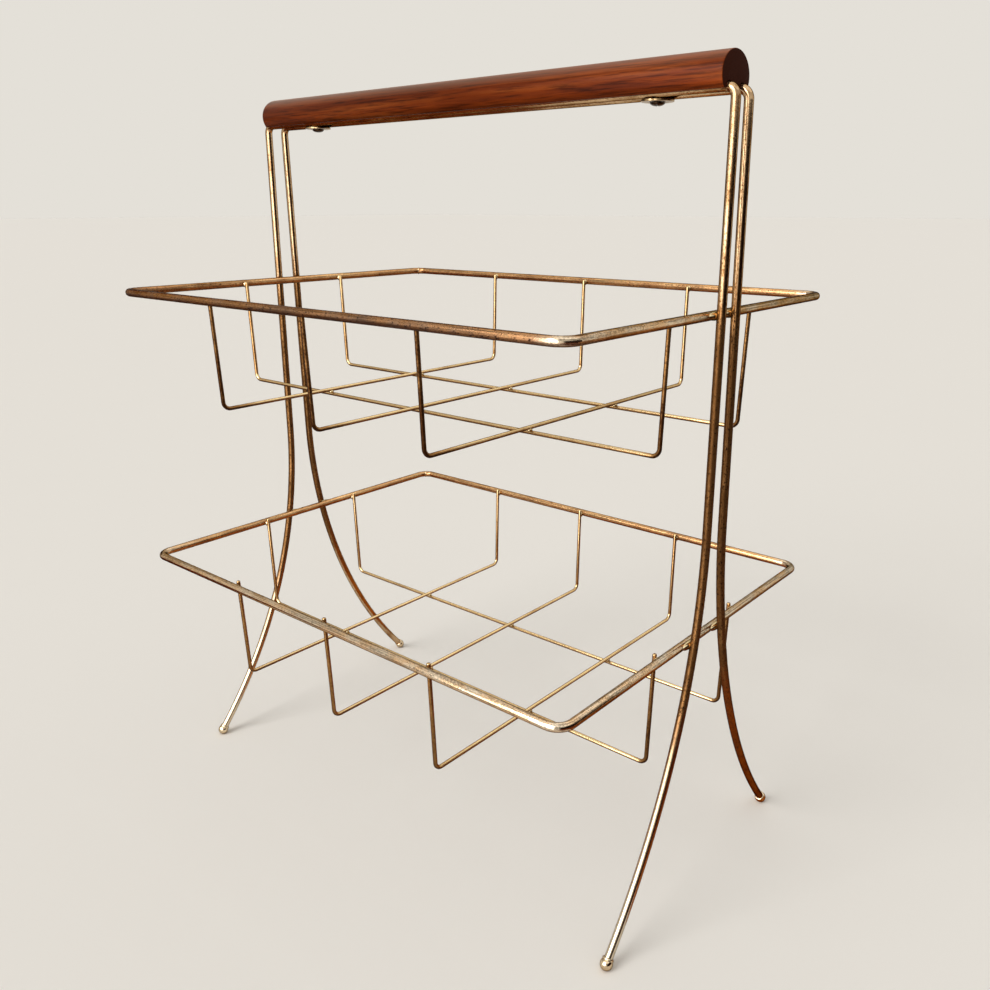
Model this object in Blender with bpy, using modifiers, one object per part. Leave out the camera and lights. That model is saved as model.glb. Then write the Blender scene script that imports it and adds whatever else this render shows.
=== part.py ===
# Two-tier magazine rack: brass-plated wire hoops and baskets under a wooden handle.
# Metres, +Z up. X runs along the handle, -Y is the front, and the origin is on the
# floor below the middle of the rack.

import math

import bmesh
import bpy
from mathutils import Matrix, Vector

# Wire
FRAME_WIRE = 0.00476            # diameter of the hoops and the rims
BASKET_WIRE = 0.00238           # diameter of the wires that make the baskets
JOINT_GAP = 0.0003              # left between pieces that are welded or seated

# Heights, stacked from the floor up, to the centrelines of the rims
LOWER_RIM_HEIGHT = 0.1591
TIER_SPACING = 0.1754           # from the lower rim to the upper rim
HANDLE_REACH = 0.1029           # from the upper rim to the flat under the handle

# Rims, along their centrelines
RIM_LENGTH = 0.3454
RIM_WIDTH = 0.2540
RIM_CORNER_RADIUS = 0.0085

# Baskets
UPPER_BASKET_DEPTH = 0.0637     # from the rim down to the cross wires
LOWER_BASKET_DEPTH = 0.0620
BASKET_TAPER = 0.0024           # how far each side leans in on its way down
BASKET_BEND_RADIUS = 0.0045
UPPER_WIRE_REACH = 0.0008       # from the rim's centreline up to the wires' cut ends
LOWER_WIRE_REACH = 0.0029
CROSS_WIRES = 3
CROSS_WIRE_PITCH = 0.0842
LONG_WIRES = 2
LONG_WIRE_PITCH = 0.0824

# Hoops
HOOP_BEND_RADIUS = 0.0050       # where a hoop turns down at the handle's ends
LEG_BEND_HEIGHT = 0.2240        # where the legs begin to curve outwards
LEG_SPACING_AT_BEND = 0.0170    # between the front and back legs there
FOOT_SPREAD = 0.1830            # between the front and back feet

# Feet
FOOT_DIAMETER = 0.0070
FOOT_FLAT_DEPTH = 0.0002        # worn off the ball where it stands

# Handle: an oval bar planed flat below
HANDLE_WIDTH = 0.0272
HANDLE_OVAL_HEIGHT = 0.0230
HANDLE_PLANED_DEPTH = 0.0053    # taken off the oval to make the flat
HANDLE_END_CLEARANCE = 0.0015   # from each end to the legs
HANDLE_EDGE_ROUND = 0.0006
GROOVE_DEPTH = 0.0037

# Screws and washers
SCREW_INSET = 0.0419            # from the handle's ends to the screws
SCREW_SHANK = 0.0035            # diameter
SCREW_GRIP = 0.0110             # how far a screw runs into the wood
SCREW_TIP = 0.0025              # length of its point
SCREW_HEAD = 0.0077             # diameter
SCREW_HEAD_HEIGHT = 0.0017
SCREW_SLOT_WIDTH = 0.0010
SCREW_SLOT_DEPTH = 0.0008
HOOP_SCREW_CLEARANCE = 0.0024   # between a screw and the hoop beside it
PILOT_EXTRA_DEPTH = 0.0010
WASHER_DIAMETER = 0.0165
WASHER_THICKNESS = 0.0010
WASHER_HOLE_CLEARANCE = 0.0004  # all round the screw
WASHER_EDGE = 0.0002

# Facets
FRAME_WIRE_RESOLUTION = 4
BASKET_WIRE_RESOLUTION = 3
BEND_STEPS = 6
LEG_CURVE_STEPS = 22
ROUND_SEGMENTS = 24
HANDLE_SEGMENTS = 48
CUT_MARGIN = 0.0050             # how far a cutter runs past what it cuts

# Worked out from the sizes above
frame_radius = FRAME_WIRE / 2
basket_radius = BASKET_WIRE / 2
foot_radius = FOOT_DIAMETER / 2
upper_rim_height = LOWER_RIM_HEIGHT + TIER_SPACING
handle_flat_height = upper_rim_height + HANDLE_REACH
leg_x = RIM_LENGTH / 2 + FRAME_WIRE + JOINT_GAP
hoop_y = SCREW_SHANK / 2 + HOOP_SCREW_CLEARANCE + frame_radius
groove_radius = frame_radius + JOINT_GAP
hoop_height = handle_flat_height + GROOVE_DEPTH - groove_radius
handle_length = 2 * (leg_x - frame_radius - HANDLE_END_CLEARANCE)
screw_offset = handle_length / 2 - SCREW_INSET
handle_axis_height = handle_flat_height + HANDLE_OVAL_HEIGHT / 2 - HANDLE_PLANED_DEPTH
washer_top = hoop_height - frame_radius - JOINT_GAP
screw_head_top = washer_top - WASHER_THICKNESS - JOINT_GAP
screw_top = handle_flat_height + SCREW_GRIP
foot_height = foot_radius - FOOT_FLAT_DEPTH


def clear_scene():
    for thing in list(bpy.data.objects):
        bpy.data.objects.remove(thing, do_unlink=True)


def add_collection(name):
    group = bpy.data.collections.new(name)
    bpy.context.scene.collection.children.link(group)
    return group


def make_material(name, colour, metallic, roughness):
    material = bpy.data.materials.new(name)
    material.use_nodes = True
    shader = material.node_tree.nodes["Principled BSDF"]
    shader.inputs["Base Color"].default_value = (*colour, 1.0)
    shader.inputs["Metallic"].default_value = metallic
    shader.inputs["Roughness"].default_value = roughness
    return material


def add_object(name, data, place, material, parent=None):
    thing = bpy.data.objects.new(name, data)
    thing.location = place
    thing.parent = parent
    data.materials.append(material)
    parts.objects.link(thing)
    return thing


def add_tier(name, height):
    tier = bpy.data.objects.new(name, None)
    tier.location = (0, 0, height)
    parts.objects.link(tier)
    return tier


# Wires: a wire is a line of points with a round section along it

def round_corner(before, corner, after, radius):
    to_before = (before - corner).normalized()
    to_after = (after - corner).normalized()
    half_angle = to_before.angle(to_after) / 2
    centre = corner + (to_before + to_after).normalized() * radius / math.sin(half_angle)
    start = corner + to_before * radius / math.tan(half_angle) - centre
    turn = math.pi - 2 * half_angle
    points = []
    for step in range(BEND_STEPS + 1):
        angle = turn * step / BEND_STEPS
        points.append(centre + start * math.cos(angle) - to_before * radius * math.sin(angle))
    return points


def wire_curve(name, points, diameter, resolution, closed=False):
    curve = bpy.data.curves.new(name, "CURVE")
    curve.dimensions = "3D"
    curve.bevel_depth = diameter / 2
    curve.bevel_resolution = resolution
    curve.use_fill_caps = True
    spline = curve.splines.new("POLY")
    spline.points.add(len(points) - 1)
    for slot, point in zip(spline.points, points):
        slot.co = (*point, 1)
    spline.use_cyclic_u = closed
    return curve


def rim_curve():
    x = RIM_LENGTH / 2
    y = RIM_WIDTH / 2
    corners = [Vector((x, y, 0)), Vector((-x, y, 0)), Vector((-x, -y, 0)), Vector((x, -y, 0))]
    points = []
    for index, corner in enumerate(corners):
        after = corners[(index + 1) % len(corners)]
        points += round_corner(corners[index - 1], corner, after, RIM_CORNER_RADIUS)
    return wire_curve("rim", points, FRAME_WIRE, FRAME_WIRE_RESOLUTION, closed=True)


def basket_wire_curve(name, along, rim_half_span, depth, reach):
    # A flat-bottomed U inside the rim, in the upright plane of the direction along.
    weld_reach = rim_half_span - frame_radius - basket_radius - JOINT_GAP
    lean = BASKET_TAPER / depth
    end = along * (weld_reach + lean * reach) + Vector((0, 0, reach))
    corner = along * (weld_reach - BASKET_TAPER) + Vector((0, 0, -depth))
    mirrored_end = Vector((-end.x, -end.y, end.z))
    mirrored_corner = Vector((-corner.x, -corner.y, corner.z))
    points = [end]
    points += round_corner(end, corner, mirrored_corner, BASKET_BEND_RADIUS)
    points += round_corner(corner, mirrored_corner, mirrored_end, BASKET_BEND_RADIUS)
    points.append(mirrored_end)
    return wire_curve(name, points, BASKET_WIRE, BASKET_WIRE_RESOLUTION)


def build_tier(name, height, depth, reach):
    tier = add_tier(name + "_tier", height)
    add_object(name + "_rim", rim_curve(), (0, 0, 0), plated_wire, tier)

    cross = basket_wire_curve("cross_wire", Vector((0, 1, 0)), RIM_WIDTH / 2, depth, reach)
    for index in range(CROSS_WIRES):
        x = (index - (CROSS_WIRES - 1) / 2) * CROSS_WIRE_PITCH
        add_object(f"{name}_cross_wire_{index + 1}", cross.copy(), (x, 0, 0), basket_plating, tier)

    long_depth = depth + BASKET_WIRE + JOINT_GAP
    long_wire = basket_wire_curve("long_wire", Vector((1, 0, 0)), RIM_LENGTH / 2, long_depth, reach)
    for index in range(LONG_WIRES):
        y = (index - (LONG_WIRES - 1) / 2) * LONG_WIRE_PITCH
        add_object(f"{name}_long_wire_{index + 1}", long_wire.copy(), (0, y, 0), basket_plating, tier)


# Hoops: each is one wire, from a foot up to the handle, along it and down to the other foot

def leg_curve():
    # Points (y, z) of the outward sweep, as one arc that leaves the upright part of the
    # leg without a kink and ends at the middle of the ball foot.
    top = Vector((LEG_SPACING_AT_BEND / 2, LEG_BEND_HEIGHT))
    foot = Vector((FOOT_SPREAD / 2, foot_height))
    down = (top - Vector((hoop_y, hoop_height))).normalized()
    outward = Vector((-down.y, down.x))
    chord = foot - top
    half_turn = math.atan2(chord.dot(outward), chord.dot(down))
    radius = chord.length / (2 * math.sin(half_turn))
    turn = 2 * half_turn - JOINT_GAP / radius
    points = []
    for step in range(LEG_CURVE_STEPS + 1):
        angle = turn * step / LEG_CURVE_STEPS
        sideways = outward * radius * (1 - math.cos(angle))
        points.append(top + sideways + down * radius * math.sin(angle))
    foot_direction = down * math.cos(2 * half_turn) + outward * math.sin(2 * half_turn)
    return points, foot_direction


def hoop_curve(side):
    leg, _ = leg_curve()
    descent = [Vector((leg_x, side * y, z)) for y, z in leg]
    shoulder = Vector((leg_x, side * hoop_y, hoop_height))
    middle = Vector((0, side * hoop_y, hoop_height))
    half = round_corner(middle, shoulder, descent[0], HOOP_BEND_RADIUS) + descent
    mirrored = [Vector((-point.x, point.y, point.z)) for point in reversed(half)]
    return wire_curve("hoop", mirrored + half, FRAME_WIRE, FRAME_WIRE_RESOLUTION)


# Turned and cut pieces

def mesh_from(name, bm):
    mesh = bpy.data.meshes.new(name)
    bm.to_mesh(mesh)
    bm.free()
    mesh.shade_smooth()
    mesh.set_sharp_from_angle(angle=math.radians(35))
    return mesh


def add_cutter(name, bm, matrix):
    mesh = mesh_from(name, bm)
    cutter = bpy.data.objects.new(name, mesh)
    cutter.matrix_world = matrix
    cutter.display_type = "WIRE"
    cutter.hide_render = True
    cutters.objects.link(cutter)
    return cutter


def cylinder_cutter(name, start, end, radius):
    axis = end - start
    bm = bmesh.new()
    bmesh.ops.create_cone(bm, cap_ends=True, segments=ROUND_SEGMENTS,
                          radius1=radius, radius2=radius, depth=axis.length)
    turn = axis.to_track_quat("Z", "Y").to_matrix().to_4x4()
    return add_cutter(name, bm, Matrix.Translation((start + end) / 2) @ turn)


def cut(thing, cutter):
    modifier = thing.modifiers.new(cutter.name, "BOOLEAN")
    modifier.operation = "DIFFERENCE"
    modifier.solver = "EXACT"
    modifier.object = cutter


def turned(name, profile, closed, place, material):
    bm = bmesh.new()
    verts = [bm.verts.new((radius, 0, height)) for radius, height in profile]
    for first, second in zip(verts, verts[1:]):
        bm.edges.new((first, second))
    if closed:
        bm.edges.new((verts[-1], verts[0]))
    thing = add_object(name, mesh_from(name, bm), place, material)
    screw = thing.modifiers.new("turn", "SCREW")
    screw.steps = ROUND_SEGMENTS
    screw.render_steps = ROUND_SEGMENTS
    screw.use_merge_vertices = True
    screw.merge_threshold = 0.00001
    return thing


def build_foot(name, side_x, side_y):
    _, direction = leg_curve()
    centre = Vector((side_x * leg_x, side_y * FOOT_SPREAD / 2, foot_height))
    into_leg = -Vector((0, side_y * direction.x, direction.y))
    bm = bmesh.new()
    bmesh.ops.create_uvsphere(bm, u_segments=ROUND_SEGMENTS, v_segments=12, radius=foot_radius)
    bmesh.ops.bisect_plane(bm, geom=bm.verts[:] + bm.edges[:] + bm.faces[:],
                           plane_co=(0, 0, -foot_height), plane_no=(0, 0, -1),
                           clear_outer=True)
    bmesh.ops.holes_fill(bm, edges=[edge for edge in bm.edges if edge.is_boundary])
    ball = add_object(name, mesh_from(name, bm), centre, plated_wire)
    mouth = centre + into_leg * (foot_radius + CUT_MARGIN)
    cut(ball, cylinder_cutter(name + "_socket", centre, mouth, groove_radius))


def build_washer(name, x):
    outer = WASHER_DIAMETER / 2
    inner = SCREW_SHANK / 2 + WASHER_HOLE_CLEARANCE
    half = WASHER_THICKNESS / 2
    profile = [(outer - WASHER_EDGE, half), (outer, half - WASHER_EDGE),
               (outer, WASHER_EDGE - half), (outer - WASHER_EDGE, -half),
               (inner, -half), (inner, half)]
    turned(name, profile, True, (x, 0, washer_top - half), fastener_metal)


def build_screw(name, x):
    # The head hangs below the washer, domed downwards, with a slot across it.
    shank = SCREW_SHANK / 2
    head = SCREW_HEAD / 2
    top = screw_top - screw_head_top
    profile = [(0, top), (shank * 0.3, top), (shank, top - SCREW_TIP), (shank, 0), (head, 0)]
    rim_height = SCREW_HEAD_HEIGHT / 3
    for step in range(BEND_STEPS + 1):
        angle = math.pi / 2 * step / BEND_STEPS
        drop = rim_height + (SCREW_HEAD_HEIGHT - rim_height) * math.sin(angle)
        profile.append((head * math.cos(angle), -drop))
    profile[-1] = (0, -SCREW_HEAD_HEIGHT)
    screw = turned(name, profile, False, (x, 0, screw_head_top), fastener_metal)

    bm = bmesh.new()
    bmesh.ops.create_cube(bm, size=1)
    size = (SCREW_HEAD + CUT_MARGIN, SCREW_SLOT_WIDTH, 2 * SCREW_SLOT_DEPTH)
    bmesh.ops.scale(bm, vec=size, verts=bm.verts)
    place = Matrix.Translation((x, 0, screw_head_top - SCREW_HEAD_HEIGHT))
    cut(screw, add_cutter(name + "_slot", bm, place))


def build_handle():
    bm = bmesh.new()
    bmesh.ops.create_cone(bm, cap_ends=True, segments=HANDLE_SEGMENTS,
                          radius1=0.5, radius2=0.5, depth=handle_length)
    bmesh.ops.rotate(bm, matrix=Matrix.Rotation(math.pi / 2, 3, "Y"), verts=bm.verts)
    bmesh.ops.scale(bm, vec=(1, HANDLE_WIDTH, HANDLE_OVAL_HEIGHT), verts=bm.verts)
    flat = handle_flat_height - handle_axis_height
    bmesh.ops.bisect_plane(bm, geom=bm.verts[:] + bm.edges[:] + bm.faces[:],
                           plane_co=(0, 0, flat), plane_no=(0, 0, -1), clear_outer=True)
    bmesh.ops.holes_fill(bm, edges=[edge for edge in bm.edges if edge.is_boundary])
    handle = add_object("handle", mesh_from("handle", bm), (0, 0, handle_axis_height), wood)

    rounding = handle.modifiers.new("edge_round", "BEVEL")
    rounding.width = HANDLE_EDGE_ROUND
    rounding.segments = 2
    rounding.limit_method = "ANGLE"
    rounding.angle_limit = math.radians(30)

    end = Vector((handle_length / 2 + CUT_MARGIN, 0, 0))
    for name, side in (("front", -1), ("back", 1)):
        axis = Vector((0, side * hoop_y, hoop_height))
        cut(handle, cylinder_cutter(name + "_groove", axis - end, axis + end, groove_radius))
    for name, x in screw_places:
        bottom = Vector((x, 0, handle_flat_height - CUT_MARGIN))
        top = Vector((x, 0, screw_top + PILOT_EXTRA_DEPTH))
        pilot_radius = SCREW_SHANK / 2 + JOINT_GAP
        cut(handle, cylinder_cutter(name + "_pilot", bottom, top, pilot_radius))


clear_scene()
parts = add_collection("magazine_rack")
cutters = add_collection("cutters")
plated_wire = make_material("plated_frame_wire", (0.50, 0.36, 0.19), 1.0, 0.28)
basket_plating = make_material("plated_basket_wire", (0.60, 0.41, 0.16), 1.0, 0.25)
wood = make_material("oiled_hardwood", (0.22, 0.07, 0.03), 0.0, 0.42)
fastener_metal = make_material("fastener_metal", (0.24, 0.17, 0.10), 1.0, 0.35)
screw_places = [("left", -screw_offset), ("right", screw_offset)]

build_tier("upper", upper_rim_height, UPPER_BASKET_DEPTH, UPPER_WIRE_REACH)
build_tier("lower", LOWER_RIM_HEIGHT, LOWER_BASKET_DEPTH, LOWER_WIRE_REACH)
for end_name, side_y in (("front", -1), ("back", 1)):
    add_object(end_name + "_hoop", hoop_curve(side_y), (0, 0, 0), plated_wire)
    build_foot(f"foot_{end_name}_left", -1, side_y)
    build_foot(f"foot_{end_name}_right", 1, side_y)
build_handle()
for side_name, screw_x in screw_places:
    build_washer("washer_" + side_name, screw_x)
    build_screw("screw_" + side_name, screw_x)
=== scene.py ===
# Two-tier magazine rack: brass-plated wire hoops and baskets under an oiled wooden handle.
# The camera's place and every size of the rack are in millimetres in the dictionaries. The
# studio and what is built are in metres.
import math

import bmesh
import bpy
from mathutils import Matrix, Vector


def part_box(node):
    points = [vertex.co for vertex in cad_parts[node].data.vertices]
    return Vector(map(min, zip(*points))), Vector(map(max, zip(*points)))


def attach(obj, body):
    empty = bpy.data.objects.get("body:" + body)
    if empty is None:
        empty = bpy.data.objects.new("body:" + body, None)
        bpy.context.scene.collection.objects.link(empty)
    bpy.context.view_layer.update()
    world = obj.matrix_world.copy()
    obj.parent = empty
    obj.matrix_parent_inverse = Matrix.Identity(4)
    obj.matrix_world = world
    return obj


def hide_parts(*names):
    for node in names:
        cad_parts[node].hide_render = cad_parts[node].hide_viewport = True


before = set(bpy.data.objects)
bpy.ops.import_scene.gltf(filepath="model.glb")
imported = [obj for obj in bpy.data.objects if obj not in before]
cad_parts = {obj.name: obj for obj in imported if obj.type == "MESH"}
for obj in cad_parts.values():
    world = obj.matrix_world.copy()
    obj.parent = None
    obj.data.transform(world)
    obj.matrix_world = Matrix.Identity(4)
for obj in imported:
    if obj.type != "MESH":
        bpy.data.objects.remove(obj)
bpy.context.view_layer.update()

mm = 0.001
right = Vector((1, 0, 0))
back = Vector((0, 1, 0))
up = Vector((0, 0, 1))


# Camera, where the photograph was taken from
shot = {
    "place": (388.2, -412.8, 386.2),
    "azimuth": 39.24,       # degrees round from the front, towards the right-hand legs
    "elevation": 17.34,
    "lens": 32.91,
    "sensor": 36,
    "shift": (-0.0356, -0.0071),
    "nearest": 10,          # nothing closer than this is drawn
}


def setCamera():
    azimuth = math.radians(shot["azimuth"])
    elevation = math.radians(shot["elevation"])
    behind = Vector((math.sin(azimuth) * math.cos(elevation),
                     -math.cos(azimuth) * math.cos(elevation), math.sin(elevation)))
    bpy.ops.object.camera_add(location=Vector(shot["place"]) * mm,
                              rotation=(-behind).to_track_quat("-Z", "Y").to_euler())
    camera = bpy.context.object
    camera.data.lens = shot["lens"]
    camera.data.sensor_width = shot["sensor"]
    camera.data.shift_x, camera.data.shift_y = shot["shift"]
    camera.data.clip_start = shot["nearest"] * mm
    bpy.context.scene.camera = camera


# Colours and nodes

def toLinear(hexColour):
    channels = [int(hexColour[i:i + 2], 16) / 255 for i in (1, 3, 5)]
    curve = [c / 12.92 if c <= 0.04045 else ((c + 0.055) / 1.055) ** 2.4 for c in channels]
    return (*curve, 1.0)


def addNode(tree, kind, inputs=None, stops=(), **settings):
    # an input is a value for a socket, or another node's output to link to it, and the stops of
    # a colour ramp are places from 0 to 1, each with its colour or its shade of grey
    node = tree.nodes.new("ShaderNode" + kind)
    for name, value in settings.items():
        setattr(node, name, value)
    for name, value in (inputs or {}).items():
        if isinstance(value, bpy.types.NodeSocket):
            tree.links.new(value, node.inputs[name])
        else:
            node.inputs[name].default_value = value
    if stops:
        elements = node.color_ramp.elements
        while len(elements) < len(stops):
            elements.new(0.5)
        for element, (position, colour) in zip(elements, stops):
            element.position = position
            grey = (colour, colour, colour, 1)
            element.color = toLinear(colour) if isinstance(colour, str) else grey
    return node


def span(low, high, atLow=0.0, atHigh=1.0):
    # inputs of a Map Range node that goes from atLow to atHigh as its value goes from low to high
    return {1: low, 2: high, 3: atLow, 4: atHigh}


def patternScale(x, y, z):
    # cells of a pattern in a metre, from the size of one cell in millimetres
    return (1000 / x, 1000 / y, 1000 / z)


def startMaterial(name, roughness, metallic):
    material = bpy.data.materials.new(name)
    material.use_nodes = True
    shader = material.node_tree.nodes["Principled BSDF"]
    shader.inputs["Roughness"].default_value = roughness
    shader.inputs["Metallic"].default_value = metallic
    return material, shader


def mattSurface(name, colour, roughness):
    material, shader = startMaterial(name, roughness, 0.0)
    shader.inputs["Base Color"].default_value = toLinear(colour)
    shader.inputs["Specular IOR Level"].default_value = 0.0
    return material


# Studio: one pale floor that runs out to a horizon of its own colour

studio = {
    "floorSize": 60.0,
    "floorColour": "#efebe4",
    "floorRoughness": 0.9,
    "horizonColour": "#e4e0d8",
    "ceilingColour": "#cfcbc4",
    "climb": (0.22, 0.55),  # how steeply upwards the horizon's colour begins and ends to change
    "shade": 0.42,          # how much of the surroundings lights matt surfaces
}


def buildFloor():
    bpy.ops.object.select_all(action="DESELECT")
    bpy.ops.mesh.primitive_plane_add(size=studio["floorSize"], location=(0, 0, 0))
    floor = bpy.context.object
    floor.name = "floor"
    paint = mattSurface("matt_painted_floor", studio["floorColour"], studio["floorRoughness"])
    floor.data.materials.append(paint)


def buildWorld():
    world = bpy.data.worlds.new("studio")
    bpy.context.scene.world = world
    world.use_nodes = True
    tree = world.node_tree
    direction = addNode(tree, "TexCoord")
    height = addNode(tree, "SeparateXYZ", {0: direction.outputs["Generated"]})
    climb = addNode(tree, "MapRange", {0: height.outputs["Z"], **span(*studio["climb"])})
    sky = addNode(tree, "Mix", {0: climb.outputs[0], 6: toLinear(studio["horizonColour"]),
                                7: toLinear(studio["ceilingColour"])}, data_type="RGBA")
    tree.links.new(sky.outputs[2], tree.nodes["Background"].inputs["Color"])
    # the camera, and reflections in metal and varnish, see the pale surroundings in full
    rays = addNode(tree, "LightPath").outputs
    seen = rays["Is Camera Ray"]
    for ray in ("Is Glossy Ray", "Is Transmission Ray"):
        seen = addNode(tree, "Math", {0: seen, 1: rays[ray]}, operation="MAXIMUM").outputs[0]
    strength = addNode(tree, "MapRange", {0: seen, 3: studio["shade"], 4: 1.0})
    tree.links.new(strength.outputs[0], tree.nodes["Background"].inputs["Strength"])


suns = {        # softness in degrees
    "window_light": {"place": (-0.4, -1.3, 1.0), "strength": 1.75, "softness": 35},
    "room_light": {"place": (0.1, 0.2, 1.5), "strength": 0.95, "softness": 90},
}


def addSun(name, sun):
    direction = -Vector(sun["place"])
    bpy.ops.object.light_add(type="SUN", location=sun["place"],
                             rotation=direction.to_track_quat("-Z", "Y").to_euler())
    lamp = bpy.context.object
    lamp.name = name
    lamp.data.energy = sun["strength"]
    lamp.data.angle = math.radians(sun["softness"])


pane = {
    "place": (0.06, -0.72, 0.52),
    "faces": (0.06, 0, 0.52),
    "size": (0.70, 1.0),
    "radiance": 3.2,
}


def addPane():
    # a bright window pane that shows only as a reflection in metal and varnish
    width, height = pane["size"]
    direction = Vector(pane["faces"]) - Vector(pane["place"])
    bpy.ops.object.light_add(type="AREA", location=pane["place"],
                             rotation=direction.to_track_quat("-Z", "Y").to_euler())
    lamp = bpy.context.object
    lamp.name = "window_pane"
    lamp.data.shape = "RECTANGLE"
    lamp.data.size = width
    lamp.data.size_y = height
    lamp.data.energy = pane["radiance"] * math.pi * width * height
    lamp.visible_camera = False
    lamp.visible_diffuse = False


standing = (90, 0, 90)      # turns in degrees
lying = (0, 0, 0)
cardRoughness = 1.0
cards = {                   # colour, middle, size and turn
    "right_card": ("#24130c", (0.85, -0.075, 0.275), (1.35, 0.55), standing),
    "left_card": ("#5d4028", (-0.95, -0.05, 0.37), (0.70, 0.20), standing),
    "near_floor_card": ("#b86e2e", (0.09, 0.095, 0.001), (0.46, 0.31), lying),
    "right_floor_card": ("#6b3419", (0.785, -0.175, 0.001), (0.93, 0.85), lying),
    "back_floor_card": ("#b98d62", (0.525, 0.60, 0.001), (1.45, 0.70), lying),
    "left_floor_card": ("#7a3e20", (-0.80, -0.315, 0.001), (1.00, 1.27), lying),
}


def addScreen(name, colour, place, size, turn):
    # a coloured card beside or below the rack, which shows only as a reflection in metal and
    # varnish
    bpy.ops.object.select_all(action="DESELECT")
    bpy.ops.mesh.primitive_plane_add(size=1, location=place,
                                     rotation=[math.radians(angle) for angle in turn])
    screen = bpy.context.object
    screen.name = name
    screen.scale = (*size, 1)
    bpy.ops.object.transform_apply(location=True, rotation=True, scale=True)
    screen.data.materials.append(mattSurface(name + "_felt", colour, cardRoughness))
    screen.visible_camera = False
    screen.visible_diffuse = False
    screen.visible_shadow = False
    screen.visible_transmission = False


# Plated wire

plating = {
    # each pattern: one cell in millimetres (twice across the wire, then along it), its detail
    # and its roughness
    "blotches": ((6, 6, 14), 5.0, 0.65),
    "specks": ((0.9, 0.9, 1.3), 2.0, 0.6),
    "dieLines": ((0.5, 0.5, 25), 2.0, 0.5),     # coarser than real ones, so that they show
    "regions": ((111.1, 111.1, 111.1), 1.0, 0.5),

    # where wear with painted reflection, and age with painted shade, begin and are full, along X in
    # metres
    "rightwards": (-0.15, 0.12, 0.7, 1.0),      # and how much of the wear and painted reflection there is at each end
    "farRight": (0.155, 0.170),
    "rightLegs": (0.155, 0.163),

    "upwardWearAndReflection": (-0.9, 0.1),          # how a place faces, from -1 down to 1 up
    "patchy": (0.40, 0.58),         # values of the blotches
    "grainRange": (0.88, 1.08),     # values of the specks and the die lines together
    "pitRange": (0.57, 0.66),       # values of the specks
    "newPits": 0.2,                 # how much of the pits shows where the plating is new
    "pitColour": "#24160d",
    "regionAge": 0.5,               # how much the regions and the die lines change the age
    "dieLineAge": 0.35,
    "dullPatinaAndShadeAt": 0.45,              # values of age and painted shade, from 0 to 1, at which the colours are reached
    "darkPatinaAndShadeAt": 0.90,
    "bare": (0.35, 0.95, 1.0, 0.5),             # values of age and painted shade, and how metallic the plating is at each
    "agedRoughness": 0.20,          # added where it is most aged and painted as shaded
    "pitBump": (0.30, 0.10),        # strength, and depth in millimetres
    "lineBump": (0.20, 0.06),
    "reflection": 0.25,
    "tall": 0.5,                    # metres above the floor, the top of each ramp over height
}

# A finish has ramps over height, from the floor at 0 to half a metre up at 1, and over how a
# place faces, from down at 0 to up at 1. Its ramps of age are partly patina and partly painted
# shade, and its ramps of wear are partly wear and partly a painted reflection.
nowhere = [(0.0, 0.0), (1.0, 0.0)]
everywhere = [(0.0, 1.0), (1.0, 1.0)]
commonFinish = {
    "bent": True,                   # the patterns follow the wire round its bends
    "edge": "#3a2818",              # tint of reflections at a low angle
    "grain": 0.2,
    "pits": 1.0,
    "frontAt": (-0.02, -0.08),      # Y in metres where the front begins, and where it is full
    "wearAndReflectionHeights": nowhere,
    "wearAndReflectionColour": "#dcd2c0",
    "wearAndReflectionLeast": 1.0,               # the wear and painted reflection between the patches where they are most
    "frontWearAndReflection": everywhere,        # how much of the wear and painted reflection there is at the front
    "rightWearAndReflection": 0.0,               # how much of it there is on the far right
    "patinaAndShadeHeights": nowhere,             # how aged it is by height, and how much more at the front: partly patina, partly painted shade
    "frontPatinaAndShadeHeights": nowhere,
    # how much more aged the right-hand side is: partly patina, partly painted shade
    "rightPatinaAndShade": 0.0,
}

hoopFinish = {
    **commonFinish,
    "clean": "#dcbc94", "dullPatinaAndShade": "#966c42", "darkPatinaAndShade": "#664424",
    "roughness": 0.13, "blotches": 1.0, "mottle": 0.7,
    # paler low down on the legs: worn plating and a painted reflection of bright surroundings
    "wearAndReflectionHeights": [(0.17, 0.90), (0.26, 0.0)], "wearAndReflectionColour": "#dccfb8", "wearAndReflectionLeast": 0.9,
    # darker underneath: partly patina, partly painted shade
    "facingPatinaAndShade": [(0.0, 0.15), (0.5, 0.10), (0.9, 0.0)],
    # darker on the legs between the rims: partly patina, partly painted shade
    "patinaAndShadeHeights": [(0.0, 0.0), (0.20, 0.14), (0.28, 0.60), (0.64, 0.65), (0.67, 0.22),
                (0.72, 0.05), (0.80, 0.0)],
    # darker on the right-hand legs: partly patina, partly painted shade
    "rightPatinaAndShade": 0.15,
}

rimFinish = {
    **commonFinish,
    "clean": "#e6b984", "dullPatinaAndShade": "#b48256", "darkPatinaAndShade": "#512c18",
    "roughness": 0.16, "blotches": 1.2, "mottle": 1.0, "grain": 0.5,
    "frontAt": (-0.095, -0.115),
    # paler on both rims in front and at the right-hand end: worn plating and a painted reflection
    # of bright surroundings
    "wearAndReflectionHeights": [(0.36, 0.95), (0.50, 0.0), (0.60, 0.0), (0.66, 0.85)],
    "wearAndReflectionColour": "#dfd0b8", "wearAndReflectionLeast": 0.35,
    "frontWearAndReflection": [(0.50, 1.0), (0.62, 0.15)], "rightWearAndReflection": 1.0,
    # darker underneath: partly patina, partly painted shade
    "facingPatinaAndShade": [(0.0, 0.55), (0.35, 0.38), (0.5, 0.25), (0.8, 0.12)],
    # darker along the front of the upper rim: partly patina, partly painted shade
    "patinaAndShadeHeights": [(0.4, 0.0), (0.6, 0.05)], "frontPatinaAndShadeHeights": [(0.60, 0.0), (0.66, 0.42)],
}

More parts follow.
